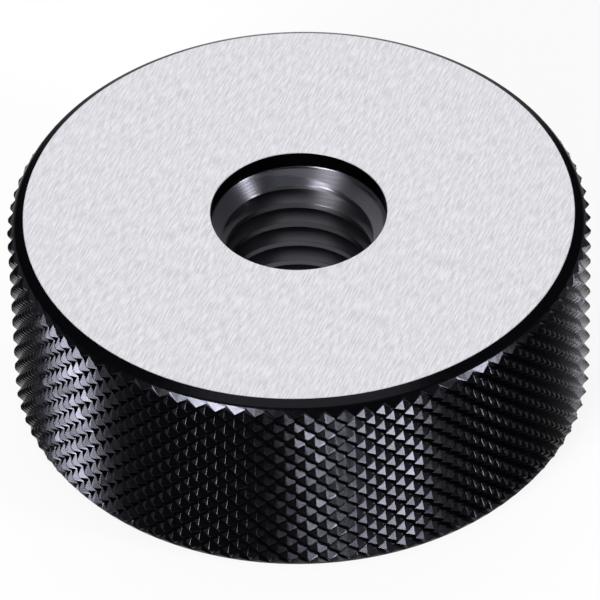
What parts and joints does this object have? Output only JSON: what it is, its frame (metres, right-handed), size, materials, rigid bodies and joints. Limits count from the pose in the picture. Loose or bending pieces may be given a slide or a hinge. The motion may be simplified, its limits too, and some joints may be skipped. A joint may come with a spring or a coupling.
{
  "type": "thread ring gauge",
  "caption": "Solid steel ring gauge with a ground face, a diamond-knurled black rim and a right-hand threaded bore between chamfered mouths.",
  "frame": {"origin": "middle of the lower face, on the axis of the thread", "axes": "+Z along the axis of the thread, from the lower face to the upper; X and Y alike"},
  "size_m": [0.04, 0.04, 0.0151],
  "materials": {
    "steel": "black oxide on the knurled rim and in the bore's mouths, both faces ground bright"
  },
  "bodies": {
    "root": {"gauge_ring": "steel"}
  },
  "joints": []
}
